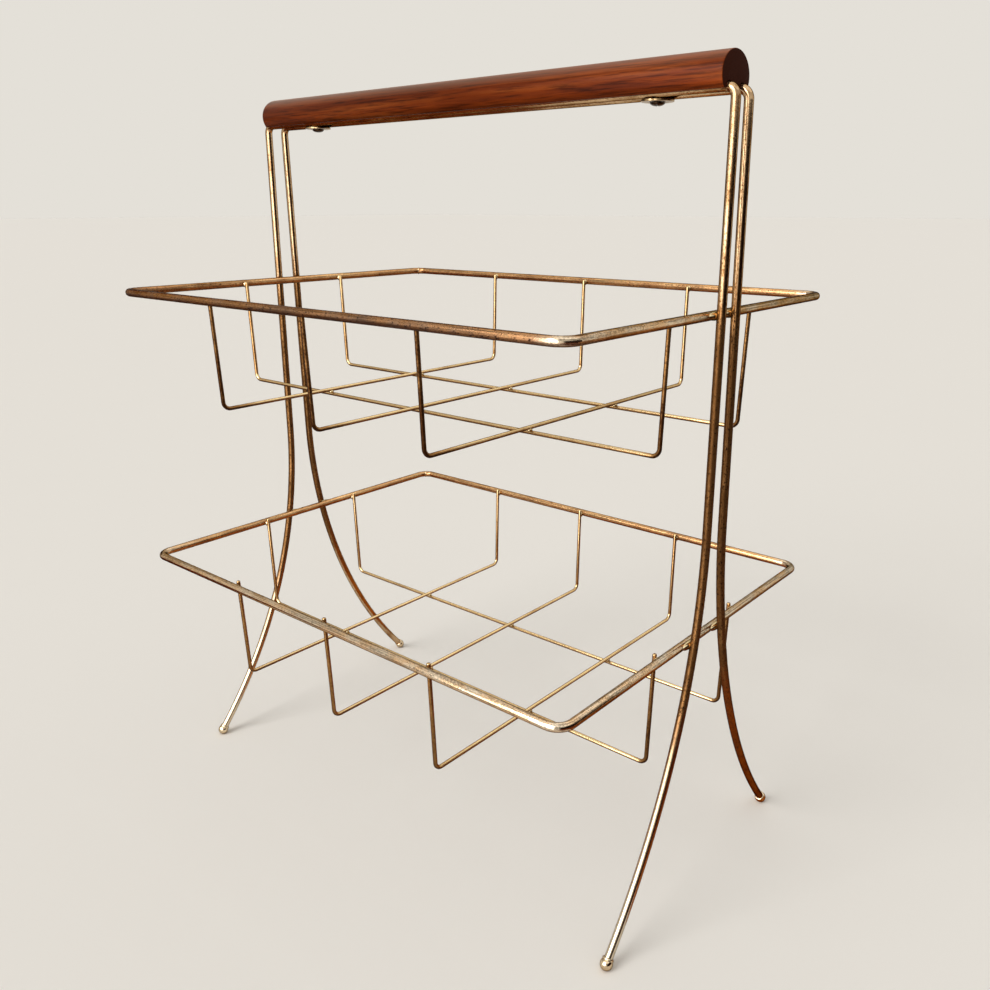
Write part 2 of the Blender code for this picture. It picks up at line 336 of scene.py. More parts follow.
basketFinish = {
    **commonFinish,
    "clean": "#efd09c", "dullPatinaAndShade": "#a87b4a", "darkPatinaAndShade": "#3f230f",
    "roughness": 0.14, "blotches": 0.7, "mottle": 0.5, "pits": 0.6,
    "frontAt": (-0.095, -0.115),
    # darker on uprights and underneath: partly patina, partly painted shade
    "facingPatinaAndShade": [(0.0, 0.85), (0.46, 0.55), (0.54, 0.40), (0.64, 0.08), (0.9, 0.0)],
    # darker towards the front: partly patina, partly painted shade
    "frontPatinaAndShadeHeights": [(0.30, 0.08), (0.50, 0.40)],
    # darker on the right-hand side: partly patina, partly painted shade
    "rightPatinaAndShade": 0.32,
}

footFinish = {
    **commonFinish,
    "bent": False,
    "clean": "#ead6b4", "dullPatinaAndShade": "#b48a5c", "darkPatinaAndShade": "#3c2413",
    "roughness": 0.12, "blotches": 0.8, "mottle": 0.5, "pits": 0.8,
    # darker underneath: partly patina, partly painted shade
    "facingPatinaAndShade": [(0.0, 0.4), (0.4, 0.05), (0.9, 0.0)],
}

weldFinish = {
    **commonFinish,
    "bent": False,
    "clean": "#ecd6a8", "dullPatinaAndShade": "#a07c50", "darkPatinaAndShade": "#2c1c12",
    "roughness": 0.20, "blotches": 0.6, "mottle": 0.3, "pits": 0.5,
    # darker underneath: partly patina, partly painted shade
    "facingPatinaAndShade": [(0.0, 0.9), (0.5, 0.15), (0.9, 0.0)],
}


def brassPlatedWire(name, finish):
    # Steel wire, drawn and then brass-plated. The plating is warm gold where magazines and
    # hands rub it. In blotches it lies under a dull brown patina, pitted with dark specks. On
    # uprights and undersides, at mid height on the legs, towards the front and on the right-hand
    # side it is darker, partly from patina and partly from painted shade. Low down, in front
    # and at the far right, where it faces up or sideways, it is paler, partly where the plating
    # has worn thin and partly from a painted reflection of bright surroundings.
    material, shader = startMaterial(name, finish["roughness"], 1.0)
    tree = material.node_tree
    shader.inputs["Specular Tint"].default_value = toLinear(finish["edge"])
    shader.inputs["Specular IOR Level"].default_value = plating["reflection"]
    place = addNode(tree, "TexCoord").outputs
    x, y, z = addNode(tree, "SeparateXYZ", {0: place["Object"]}).outputs
    facing = addNode(tree, "SeparateXYZ", {0: place["Normal"]}).outputs["Z"]
    wire = place["Object"]
    if finish["bent"]:
        # where a point lay before the wire was bent: across in X and Y, along in Z, in metres
        wire = addNode(tree, "Attribute", attribute_name="beforeBending").outputs["Vector"]

    patterns = {}
    for kind, coordinates in (("blotches", wire), ("specks", wire), ("dieLines", wire),
                              ("regions", place["Object"])):
        cell, detail, roughness = plating[kind]
        spread = addNode(tree, "Mapping", {"Vector": coordinates, "Scale": patternScale(*cell)})
        noise = addNode(tree, "TexNoise", {"Vector": spread.outputs[0], "Scale": 1.0,
                                           "Detail": detail, "Roughness": roughness})
        patterns[kind] = noise.outputs[0]
    turned = addNode(tree, "MapRange", {0: facing, **span(-1.0, 1.0)}).outputs[0]
    height = addNode(tree, "MapRange", {0: z, **span(0.0, plating["tall"])}).outputs[0]
    forward = addNode(tree, "MapRange", {0: y, **span(*finish["frontAt"])}).outputs[0]

    # how worn a place is, and how much a painted reflection of bright surroundings pales it: at
    # some heights, where it faces up or sideways, and near the front or the right-hand side
    inFront = addNode(tree, "ValToRGB", {0: height}, stops=finish["frontWearAndReflection"])
    inFront = addNode(tree, "Math", {0: forward, 1: inFront.outputs[0]}, operation="MULTIPLY")
    farRight = addNode(tree, "MapRange", {0: x, **span(*plating["farRight"], 0.0,
                                                       finish["rightWearAndReflection"])})
    frontAndRight = addNode(tree, "Math", {0: inFront.outputs[0], 1: farRight.outputs[0]},
                      operation="MAXIMUM")
    upwardWearAndReflection = addNode(tree, "MapRange", {0: facing, **span(*plating["upwardWearAndReflection"])})
    rightwards = addNode(tree, "MapRange", {0: x, **span(*plating["rightwards"])})
    patchy = addNode(tree, "MapRange", {0: patterns["blotches"],
                                        **span(*plating["patchy"], finish["wearAndReflectionLeast"], 1.0)})
    wearAndReflection = addNode(tree, "ValToRGB", {0: height}, stops=finish["wearAndReflectionHeights"]).outputs[0]
    for share in (upwardWearAndReflection, frontAndRight, rightwards, patchy):
        wearAndReflection = addNode(tree, "Math", {0: wearAndReflection, 1: share.outputs[0]},
                       operation="MULTIPLY").outputs[0]

    # how aged it is, with painted shade, from 0 to 1: by how it faces, how high it is, near the
    # front and on the right-hand side, partly patina and partly painted shade, and in patches of
    # patina
    patinaAndShadeByFacing = addNode(tree, "ValToRGB", {0: turned}, stops=finish["facingPatinaAndShade"]).outputs[0]
    patinaAndShadeByHeight = addNode(tree, "ValToRGB", {0: height}, stops=finish["patinaAndShadeHeights"]).outputs[0]
    frontPatinaAndShade = addNode(tree, "ValToRGB", {0: height}, stops=finish["frontPatinaAndShadeHeights"]).outputs[0]
    rightPatinaAndShadeShare = addNode(tree, "MapRange", {0: x, **span(*plating["rightLegs"], 0.0,
                                                       finish["rightPatinaAndShade"])}).outputs[0]
    ageAndShade = addNode(tree, "Math", {0: patinaAndShadeByFacing, 1: patinaAndShadeByHeight}, operation="ADD").outputs[0]
    ageAndShade = addNode(tree, "Math", {0: frontPatinaAndShade, 1: forward, 2: ageAndShade},
                   operation="MULTIPLY_ADD").outputs[0]
    ageAndShade = addNode(tree, "Math", {0: rightPatinaAndShadeShare, 1: ageAndShade}, operation="ADD").outputs[0]
    for kind, amount in (("blotches", finish["blotches"]), ("specks", finish["mottle"]),
                         ("regions", plating["regionAge"]), ("dieLines", plating["dieLineAge"])):
        centred = addNode(tree, "Math", {0: patterns[kind], 1: 0.5}, operation="SUBTRACT")
        ageAndShade = addNode(tree, "Math", {0: centred.outputs[0], 1: amount, 2: ageAndShade},
                       operation="MULTIPLY_ADD").outputs[0]
    kept = addNode(tree, "Math", {0: 1.0, 1: wearAndReflection}, operation="SUBTRACT")
    ageAndShade = addNode(tree, "Clamp", {0: ageAndShade}).outputs[0]
    ageAndShade = addNode(tree, "Math", {0: ageAndShade, 1: kept.outputs[0]}, operation="MULTIPLY").outputs[0]
    # clean plating goes dull and then dark, both with patina and with painted shade
    colour = addNode(tree, "ValToRGB", {0: ageAndShade},
                     stops=[(0.0, finish["clean"]), (plating["dullPatinaAndShadeAt"], finish["dullPatinaAndShade"]),
                            (plating["darkPatinaAndShadeAt"], finish["darkPatinaAndShade"])]).outputs[0]
    # paler where the plating is worn and where a reflection of bright surroundings is painted
    colour = addNode(tree, "Mix", {0: wearAndReflection, 6: colour, 7: toLinear(finish["wearAndReflectionColour"])},
                     data_type="RGBA").outputs[2]

    # fine lines from the drawing die, and rubbed specks, show through everywhere
    grain = addNode(tree, "Math", {0: patterns["specks"], 1: patterns["dieLines"]},
                    operation="ADD").outputs[0]
    grain = addNode(tree, "MapRange", {0: grain, **span(*plating["grainRange"],
                                                        1 - finish["grain"],
                                                        1 + finish["grain"] / 3)})
    colour = addNode(tree, "Mix", {0: 1.0, 6: colour, 7: grain.outputs[0]}, data_type="RGBA",
                     blend_type="MULTIPLY").outputs[2]
    pits = addNode(tree, "MapRange", {0: patterns["specks"],
                                      **span(*plating["pitRange"], 0.0, finish["pits"])})
    deep = addNode(tree, "MapRange", {0: ageAndShade, 3: plating["newPits"], 4: 1.0})
    pits = addNode(tree, "Math", {0: pits.outputs[0], 1: deep.outputs[0]}, operation="MULTIPLY")
    colour = addNode(tree, "Mix", {0: pits.outputs[0], 6: colour,
                                   7: toLinear(plating["pitColour"])}, data_type="RGBA")
    tree.links.new(colour.outputs[2], shader.inputs["Base Color"])

    # patina is less of a metal than clean plating, and rougher, and so is the painted shade that
    # shares its mask
    bare = addNode(tree, "MapRange", {0: ageAndShade, **span(*plating["bare"])})
    tree.links.new(bare.outputs[0], shader.inputs["Metallic"])
    rough = addNode(tree, "MapRange", {0: ageAndShade, 3: finish["roughness"],
                                       4: finish["roughness"] + plating["agedRoughness"]})
    tree.links.new(rough.outputs[0], shader.inputs["Roughness"])

    strength, depth = plating["pitBump"]
    pitted = addNode(tree, "Bump", {"Height": patterns["specks"], "Strength": strength,
                                    "Distance": depth * mm})
    strength, depth = plating["lineBump"]
    lined = addNode(tree, "Bump", {"Height": patterns["dieLines"], "Strength": strength,
                                   "Distance": depth * mm, "Normal": pitted.outputs[0]})
    tree.links.new(lined.outputs[0], shader.inputs["Normal"])
    return material


# Wood and screws

hardwood = {
    # each pattern: one cell in millimetres (along the handle, then twice across it), its
    # detail, its roughness and how much it swirls
    "streaks": ((166.7, 6.25, 6.25), 6.0, 0.6, 0.6),
    "openPores": ((22.22, 1.0, 1.0), 3.0, 0.6, 0.0),    # coarser than real ones, so that they show
    "streakColours": [(0.32, "#471703"), (0.50, "#6d2b07"), (0.68, "#8a4318")],
    # the top is paled towards a colour that is painted light from above; the end grain's colour is
    # its own dark tone, darkened further with painted shade
    "topLightColour": "#a5785a",
    "endGrainAndShadeColour": "#38160a",
    "roughness": 0.30,
    "endRoughness": 0.75,
    "sheen": 0.05,
    "poreBump": (0.25, 0.1),        # strength, and depth in millimetres

    # how light the wood is by its pores, and by painted light and shade by how it faces
    # (-1 down to 1 up) and along X in metres
    "pores": (0.36, 0.52, 0.45, 1.0),
    # painted bounce light lightens the lower sides, painted shade darkens the underside, a painted
    # sheen lightens the right-hand end, and painted light from above pales the top
    "sides": (0.15, -0.30, 1.0, 1.35),
    "paintedShadeBelow": (-0.33, -0.65, 1.0, 0.30),
    "paintedSheenRightwards": (-0.02, 0.15, 0.92, 1.45),
    "topLight": (0.45, 0.95, 0.0, 0.40),
    # the end grain: its own darker tone, with painted shade on it
    "ends": (0.5, 0.9),
}


def oiledHardwood():
    # Reddish hardwood, turned and planed, then oiled. The grain runs along the handle, with
    # dark streaks and fine open pores, and the oil leaves a soft satin sheen. Light and shade
    # are painted into its colour: painted bounce light makes the lower sides the richest, painted
    # light from above pales the top, painted shade darkens it below, and a painted sheen lightens
    # it a little towards the right-hand end. The end grain has drunk the oil and is dark, and
    # painted shade makes it almost black.
    material, shader = startMaterial("oiled_hardwood", hardwood["roughness"], 0.0)
    tree = material.node_tree
    shader.inputs["Specular IOR Level"].default_value = hardwood["sheen"]
    place = addNode(tree, "TexCoord").outputs
    patterns = {}
    for kind in ("streaks", "openPores"):
        cell, detail, roughness, swirl = hardwood[kind]
        spread = addNode(tree, "Mapping", {"Vector": place["Object"],
                                           "Scale": patternScale(*cell)})
        noise = addNode(tree, "TexNoise", {"Vector": spread.outputs[0], "Scale": 1.0,
                                           "Detail": detail, "Roughness": roughness,
                                           "Distortion": swirl})
        patterns[kind] = noise.outputs[0]
    colour = addNode(tree, "ValToRGB", {0: patterns["streaks"]}, stops=hardwood["streakColours"])
    normal = addNode(tree, "SeparateXYZ", {0: place["Normal"]}).outputs
    along = addNode(tree, "SeparateXYZ", {0: place["Object"]}).outputs["X"]

    shade = addNode(tree, "MapRange", {0: patterns["openPores"], **span(*hardwood["pores"])})
    shade = shade.outputs[0]
    # by how it faces and along X the colour carries painted bounce light, painted shade and a
    # painted sheen
    for kind, source in (("sides", normal["Z"]), ("paintedShadeBelow", normal["Z"]), ("paintedSheenRightwards", along)):
        share = addNode(tree, "MapRange", {0: source, **span(*hardwood[kind])})
        shade = addNode(tree, "Math", {0: shade, 1: share.outputs[0]},
                        operation="MULTIPLY").outputs[0]
    colour = addNode(tree, "Mix", {0: 1.0, 6: colour.outputs[0], 7: shade}, data_type="RGBA",
                     blend_type="MULTIPLY").outputs[2]
    # painted light from above pales the top, and the end grain darkens, partly its own tone and
    # partly painted shade
    topLight = addNode(tree, "MapRange", {0: normal["Z"], **span(*hardwood["topLight"])})
    endwards = addNode(tree, "Math", {0: normal["X"]}, operation="ABSOLUTE")
    ends = addNode(tree, "MapRange", {0: endwards.outputs[0], **span(*hardwood["ends"])})
    for share, tint in ((topLight, "topLightColour"), (ends, "endGrainAndShadeColour")):
        colour = addNode(tree, "Mix", {0: share.outputs[0], 6: colour,
                                       7: toLinear(hardwood[tint])}, data_type="RGBA").outputs[2]
    tree.links.new(colour, shader.inputs["Base Color"])
    rough = addNode(tree, "MapRange", {0: ends.outputs[0], 3: hardwood["roughness"],
                                       4: hardwood["endRoughness"]})
    tree.links.new(rough.outputs[0], shader.inputs["Roughness"])
    strength, depth = hardwood["poreBump"]
    relief = addNode(tree, "Bump", {"Height": patterns["openPores"], "Strength": strength,
                                    "Distance": depth * mm})
    tree.links.new(relief.outputs[0], shader.inputs["Normal"])
    return material


dullSteel = {
    "roughness": 0.28,
    "spot": (1.667, 1.667, 1.667),  # cell in millimetres
    "spotDetail": 4.0,
    "darkAt": 0.35,
    "lightAt": 0.65,
    "washer": ("#5a4428", "#d2b588"),
    "screw": ("#1f1711", "#4a3726"),
}


def agedSteel(name, dark, light):
    # turned steel, once plated, dulled to dark bronze with brighter worn spots
    material, shader = startMaterial(name, dullSteel["roughness"], 1.0)
    tree = material.node_tree
    place = addNode(tree, "TexCoord").outputs["Object"]
    spread = addNode(tree, "Mapping", {"Vector": place, "Scale": patternScale(*dullSteel["spot"])})
    spots = addNode(tree, "TexNoise", {"Vector": spread.outputs[0], "Scale": 1.0,
                                       "Detail": dullSteel["spotDetail"]})
    colour = addNode(tree, "ValToRGB", {0: spots.outputs[0]},
                     stops=[(dullSteel["darkAt"], dark), (dullSteel["lightAt"], light)])
    tree.links.new(colour.outputs[0], shader.inputs["Base Color"])
    return material


# Pieces

sharpEdge = math.radians(40)        # an edge sharper than this is shaded as an edge


def startPiece(name):
    piece = bpy.context.object
    piece.name = name
    bpy.ops.object.transform_apply(location=True, rotation=True, scale=True)
    return piece


def finishPiece(piece, material, slotName, *nodes):
    bpy.ops.object.select_all(action="DESELECT")
    piece.select_set(True)
    bpy.context.view_layer.objects.active = piece
    bpy.ops.object.shade_smooth_by_angle(angle=sharpEdge)
    piece.data.materials.append(material)
    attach(piece, "root")
    if nodes:
        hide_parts(*nodes)


def middleOf(node):
    low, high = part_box(node)
    return (low + high) / 2


def selectFaces(piece, chosen):
    bpy.ops.mesh.select_all(action="DESELECT")
    shape = bmesh.from_edit_mesh(piece.data)
    for face in shape.faces:
        face.select = chosen(face)
    bmesh.update_edit_mesh(piece.data)


frameWire = {"diameter": 4.76, "sides": 24}
basketWire = {"diameter": 2.38, "sides": 16, "endRound": 0.7, "endSteps": 3}
frameRadius = frameWire["diameter"] / 2 * mm
basketRadius = basketWire["diameter"] / 2 * mm


def recordStraightWire(wire, start, sides):
    # keeps, for each point of a bent wire, where it lay on the straight wire before bending
    shape = bmesh.new()
    shape.from_mesh(wire.data)
    layer = shape.verts.layers.float_vector.new("beforeBending")
    caps = [face for face in shape.faces if len(face.verts) == sides]
    first = min(caps, key=lambda face: (face.calc_center_median() - start).length)
    ring = list(first.verts)
    middle = first.calc_center_median()
    radius = (ring[0].co - middle).length
    along = 0
    seen = set()
    while ring:
        for index, vert in enumerate(ring):
            angle = 2 * math.pi * index / sides
            vert[layer] = (radius * math.cos(angle), radius * math.sin(angle), along)
        seen.update(ring)
        following = [[edge.other_vert(vert) for edge in vert.link_edges
                      if edge.other_vert(vert) not in seen] for vert in ring]
        ring = [options[0] for options in following if options]
        if ring:
            centre = sum((vert.co for vert in ring), Vector()) / sides
            along += (centre - middle).length
            middle = centre
    shape.to_mesh(wire.data)
    shape.free()


def bendWire(name, start, heading, moves, gauge):
    # A wire as a bending machine makes it: a disc that is run straight ahead or turned.
    bpy.ops.object.select_all(action="DESELECT")
    heading = heading.normalized()
    bpy.ops.mesh.primitive_circle_add(vertices=gauge["sides"], radius=gauge["diameter"] / 2 * mm,
                                      fill_type="NGON", location=start,
                                      rotation=heading.to_track_quat("Z", "Y").to_euler())
    wire = startPiece(name)
    bpy.ops.object.mode_set(mode="EDIT")
    bpy.ops.mesh.select_all(action="SELECT")
    place = start.copy()
    for move in moves:
        if move[0] == "run":
            step = heading * move[1]
            bpy.ops.mesh.extrude_region_move(TRANSFORM_OT_translate={"value": step})
            place += step
        else:
            axis, angle, radius, steps = move[1:]
            centre = place + axis.cross(heading) * radius
            bpy.ops.mesh.spin(steps=steps, angle=-angle, center=centre, axis=axis)
            turn = Matrix.Rotation(angle, 3, axis)
            place = centre + turn @ (place - centre)
            heading = turn @ heading
    bpy.ops.object.mode_set(mode="OBJECT")
    recordStraightWire(wire, start, gauge["sides"])
    return wire


def roundWireEnds(wire, gauge):
    # the cut ends are dressed smooth
    bpy.ops.object.mode_set(mode="EDIT")
    bpy.ops.mesh.select_all(action="DESELECT")
    shape = bmesh.from_edit_mesh(wire.data)
    for face in shape.faces:
        if len(face.verts) == gauge["sides"]:
            for edge in face.edges:
                edge.select = True
    bmesh.update_edit_mesh(wire.data)
    bpy.ops.mesh.bevel(offset=gauge["endRound"] * mm, segments=gauge["endSteps"],
                       affect="EDGES")
    bpy.ops.object.mode_set(mode="OBJECT")


rim = {"cornerRadius": 8.5, "cornerSteps": 10}


def buildRim(node):
    low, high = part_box(node)
    bend = rim["cornerRadius"] * mm
    level = (low.z + high.z) / 2
    x = high.x - frameRadius
    y = high.y - frameRadius
    # the ends meet half-way round the back left-hand corner
    centre = Vector((-x + bend, y - bend, level))
    start = centre + Vector((-1, 1, 0)).normalized() * bend
    half = ("turn", -up, math.pi / 4, bend, rim["cornerSteps"] // 2)
    corner = ("turn", -up, math.pi / 2, bend, rim["cornerSteps"])
    longSide = ("run", 2 * (x - bend))
    shortSide = ("run", 2 * (y - bend))
    moves = [half, longSide, corner, shortSide, corner, longSide, corner, shortSide, half]
    wire = bendWire(node + "_wire", start, Vector((1, 1, 0)), moves, frameWire)
    finishPiece(wire, rimPlating, "frame_wire", node)


basket = {
    "bendRadius": 4.5,
    "bendSteps": 8,
    "lean": 2.2,            # degrees that the sides lean inwards on their way down
    "crossWires": (1, 2, 3),
    "longWires": (1, 2),
}


def buildBasketWire(node, across):
    low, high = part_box(node)
    bend = basket["bendRadius"] * mm
    lean = math.radians(basket["lean"])
    bottom = low.z + basketRadius
    halfSpan = (high - low).dot(across) / 2 - basketRadius
    start = middleOf(node) + across * halfSpan
    start.z = high.z
    side = (high.z - bottom) / math.cos(lean)
    halfFloor = halfSpan - (high.z - bottom) * math.tan(lean)
    turn = math.pi / 2 - lean
    setback = bend * math.tan(turn / 2)
    heading = -across * math.sin(lean) - up * math.cos(lean)
    axis = heading.cross(-across).normalized()
    upright = ("run", side - setback)
    corner = ("turn", axis, turn, bend, basket["bendSteps"])
    moves = [upright, corner, ("run", 2 * (halfFloor - setback)), corner, upright]
    wire = bendWire(node + "_rod", start, heading, moves, basketWire)
    roundWireEnds(wire, basketWire)
    finishPiece(wire, basketPlating, "basket_wire", node)


hoop = {
    "bendRadius": 5.0,      # where it turns down at the handle's ends
    "bendSteps": 10,
    "sweepStart": 224.0,    # how high up the legs begin to curve outwards
    "sweepGap": 17.0,       # between the front and back legs there
    "sweepSteps": 28,
}
foot = {
    "ball": 7.0,
    "flat": 0.2,
    "collar": 2.5,
    "collarWire": 0.75,
    "ballSides": (40, 24),
    "collarSides": (32, 12),
    "uneven": 0.1,
    "seed": 3,
}


# outward is -1 for the front hoop and its feet, and 1 for the back ones

def shoulderOf(outward):
    # the corner where the wire of a hoop turns in under the handle
    low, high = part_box("front_hoop" if outward < 0 else "back_hoop")
    y = high.y - frameRadius if outward < 0 else low.y + frameRadius
    return Vector((high.x - frameRadius, y, high.z - frameRadius))


def footMiddle(outward):
    low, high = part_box("foot_front_right" if outward < 0 else "foot_back_right")
    ball = foot["ball"] / 2 * mm
    y = low.y + ball if outward < 0 else high.y - ball
    return Vector((shoulderOf(outward).x, y, ball - foot["flat"] * mm))


def legSweep(outward):
    # the arc of one leg, from its foot up to where it stands straight
    bottom = footMiddle(outward)
    top = Vector((bottom.x, outward * hoop["sweepGap"] / 2 * mm, hoop["sweepStart"] * mm))
    rise = (shoulderOf(outward) - top).normalized()
    chord = top - bottom
    turn = 2 * chord.angle(rise)
    return {
        "foot": bottom,
        "heading": Matrix.Rotation(-turn, 3, right * -outward) @ rise,     # out of the foot
        "turn": turn,
        "radius": chord.length / (2 * math.sin(turn / 2)),
        "top": top,
        "rise": rise,       # the way the straight part runs
    }


def legY(height, outward):
    # how far from the middle plane a leg passes at a height
    sweep = legSweep(outward)
    top = sweep["top"]
    rise = sweep["rise"]
    if height > top.z:
        shoulder = shoulderOf(outward)
        return top.y + (shoulder.y - top.y) * (height - top.z) / (shoulder.z - top.z)
    outwards = Vector((0, rise.z, -rise.y)) * outward
    centre = top + outwards * sweep["radius"]
    return centre.y - outward * math.sqrt(sweep["radius"] ** 2 - (height - centre.z) ** 2)


def buildHoop(node, outward):
    bend = hoop["bendRadius"] * mm
    shoulder = shoulderOf(outward)
    sweep = legSweep(outward)
    rise = sweep["rise"]
    axis = right * -outward
    over = rise.cross(-right).normalized()
    quarter = rise.angle(-right)
    setback = bend * math.tan(quarter / 2)
    legUp = ("turn", axis, sweep["turn"], sweep["radius"], hoop["sweepSteps"])
    legDown = ("turn", -axis, sweep["turn"], sweep["radius"], hoop["sweepSteps"])
    straight = ("run", (shoulder - sweep["top"]).length - setback)
    under = ("run", 2 * (shoulder.x - setback))
    bendOver = ("turn", over, quarter, bend, hoop["bendSteps"])
    # the far leg comes down the way this one went up
    downAxis = (-right).cross(Vector((0, -rise.y, -rise.z))).normalized()
    bendDown = ("turn", downAxis, quarter, bend, hoop["bendSteps"])
    moves = [legUp, straight, bendOver, under, bendDown, straight, legDown]
    wire = bendWire(node + "_wire", sweep["foot"], sweep["heading"], moves, frameWire)
    finishPiece(wire, hoopPlating, "frame_wire", node)


def buildFoot(node):
    # a turned ball, soldered to the end of the leg and worn flat where it stands
    middle = middleOf(node)
    sweep = legSweep(-1 if middle.y < 0 else 1)
    heading = sweep["heading"]
    ball = foot["ball"] / 2 * mm
    collar = foot["collar"] * mm
    centre = Vector((middle.x, sweep["foot"].y, sweep["foot"].z))
    segments, rings = foot["ballSides"]
    bpy.ops.object.select_all(action="DESELECT")
    bpy.ops.mesh.primitive_uv_sphere_add(segments=segments, ring_count=rings, radius=ball,
                                         location=centre)
    piece = startPiece(node + "_ball")
    bpy.ops.object.mode_set(mode="EDIT")
    bpy.ops.mesh.select_all(action="SELECT")
    bpy.ops.mesh.bisect(plane_co=(0, 0, 0), plane_no=(0, 0, -1), clear_outer=True, use_fill=True)
    bpy.ops.mesh.select_all(action="DESELECT")
    segments, rings = foot["collarSides"]
    bpy.ops.mesh.primitive_torus_add(location=centre + heading * math.sqrt(ball ** 2 - collar ** 2),
                                     rotation=heading.to_track_quat("Z", "Y").to_euler(),
                                     major_segments=segments, minor_segments=rings,
                                     major_radius=collar, minor_radius=foot["collarWire"] * mm)
    bpy.ops.transform.vertex_random(offset=foot["uneven"] * mm, seed=foot["seed"])
    bpy.ops.object.mode_set(mode="OBJECT")
    finishPiece(piece, ballPlating, "frame_wire", node)


# Welds. They fill the gap that each piece of the frame is left with where it is joined.

joint = {"gap": 0.3}
beads = {
    "sides": (20, 14),
    "leg": (2.1, 8.0, 2.35),        # half sizes: out from the rim, along it and upwards
    "legInset": 0.4,
    "wireEnd": (1.9, 1.6, 2.0),     # along the rim, across it and upwards
    "wireEndDrop": 0.7,
    "crossing": (1.7, 1.7, 1.3),
    "butt": (1.1, 2.75, 2.75),      # along the rim and round it
    "uneven": 0.08,
    "smoothing": 0.5,
    "smoothPasses": 2,
}


def addBead(place, halfSizes, seed, spin=0):
    # a drop of metal squeezed out where two wires were pressed together and melted
    bpy.ops.object.select_all(action="DESELECT")
    segments, rings = beads["sides"]
    bpy.ops.mesh.primitive_uv_sphere_add(segments=segments, ring_count=rings, radius=mm,
                                         location=place, rotation=(0, 0, spin), scale=halfSizes)
    bead = startPiece("bead")
    bpy.ops.object.mode_set(mode="EDIT")
    bpy.ops.mesh.select_all(action="SELECT")
    bpy.ops.transform.vertex_random(offset=beads["uneven"] * mm, seed=seed)
    bpy.ops.mesh.vertices_smooth(factor=beads["smoothing"], repeat=beads["smoothPasses"])
    bpy.ops.object.mode_set(mode="OBJECT")
    return bead


def buildWelds(tier):
    rimLow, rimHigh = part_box(tier + "_rim")
    level = middleOf(tier + "_rim").z
    spots = []      # the middle, half sizes and turn of each bead
    for outward in (-1, 1):
        for side in (-1, 1):
            x = side * (rimHigh.x - beads["legInset"] * mm)
            spots.append(((x, legY(level, outward), level), beads["leg"], 0))
    inset = (frameWire["diameter"] + joint["gap"]) * mm
    endLevel = level - beads["wireEndDrop"] * mm
    for number in basket["crossWires"]:
        x = middleOf(f"{tier}_cross_wire_{number}").x
        for side in (-1, 1):
            spots.append(((x, side * (rimHigh.y - inset), endLevel), beads["wireEnd"], 0))
    for number in basket["longWires"]:
        y = middleOf(f"{tier}_long_wire_{number}").y
        for side in (-1, 1):
            spots.append(((side * (rimHigh.x - inset), y, endLevel), beads["wireEnd"],
                          math.pi / 2))
    for crossNumber in basket["crossWires"]:
        cross = f"{tier}_cross_wire_{crossNumber}"
        for longNumber in basket["longWires"]:
            y = middleOf(f"{tier}_long_wire_{longNumber}").y
            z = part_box(cross)[0].z - joint["gap"] / 2 * mm
            spots.append(((middleOf(cross).x, y, z), beads["crossing"], math.pi / 4))
    reach = rim["cornerRadius"] * mm * (1 - math.sqrt(0.5)) + frameRadius
    spots.append(((rimLow.x + reach, rimHigh.y - reach, level), beads["butt"], math.pi / 4))

    made = [addBead(Vector(place), halfSizes, seed, spin)
            for seed, (place, halfSizes, spin) in enumerate(spots)]
    bpy.ops.object.select_all(action="DESELECT")
    for bead in made:
        bead.select_set(True)
    bpy.context.view_layer.objects.active = made[0]
    bpy.ops.object.join()
    made[0].name = tier + "_welds"
    finishPiece(made[0], weldMetal, "frame_wire")


handle = {
    "width": 27.2,
    "ovalHeight": 23.0,
    "sides": 96,
    "edgeRound": 0.6,
    "edgeSteps": 4,
    "sharp": 30,            # degrees between the faces at an edge that is rounded
    "grooveSides": 48,
    "pilot": 4.1,           # holes for the shanks of the screws
    "pilotSides": 32,
    "overrun": 10,          # how much longer than the handle the cutter of a groove is
}


def cutAway(piece, cutter):
    bpy.ops.object.select_all(action="DESELECT")
    piece.select_set(True)
    bpy.context.view_layer.objects.active = piece
    modifier = piece.modifiers.new("cut", "BOOLEAN")
    modifier.operation = "DIFFERENCE"
    modifier.solver = "EXACT"
    modifier.object = cutter
    bpy.ops.object.modifier_apply(modifier="cut")
    bpy.data.objects.remove(cutter)


